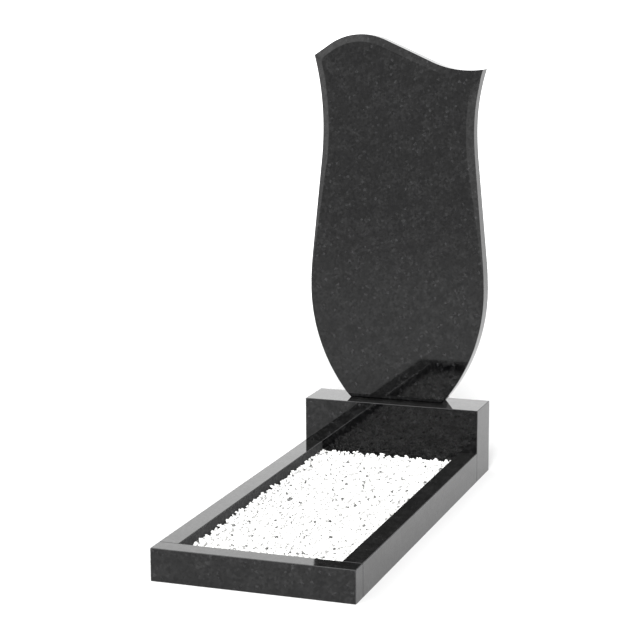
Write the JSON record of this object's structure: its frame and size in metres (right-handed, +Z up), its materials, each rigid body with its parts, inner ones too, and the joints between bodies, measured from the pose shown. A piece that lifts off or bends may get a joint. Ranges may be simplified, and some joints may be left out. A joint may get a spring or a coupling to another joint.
{
  "type": "headstone",
  "caption": "Upright wave-topped black granite stele on a low plinth, with a kerbed grave bed of white marble chips in front.",
  "frame": {"origin": "middle of the ground rectangle that the whole set covers, at ground level", "axes": "+Z up, -Y towards the foot of the grave, the way the polished face of the stele looks, +X to the right as seen from the front"},
  "size_m": [0.5, 1.18, 1.2139],
  "materials": {
    "black_granite": "mirror-polished black granite with fine grey specks",
    "white_marble": "broken white marble chips, matt"
  },
  "bodies": {
    "root": {"headstone": "black_granite", "plinth": "black_granite", "front_kerb": "black_granite", "left_kerb": "black_granite", "right_kerb": "black_granite", "marble_chips": "white_marble"}
  },
  "joints": []
}
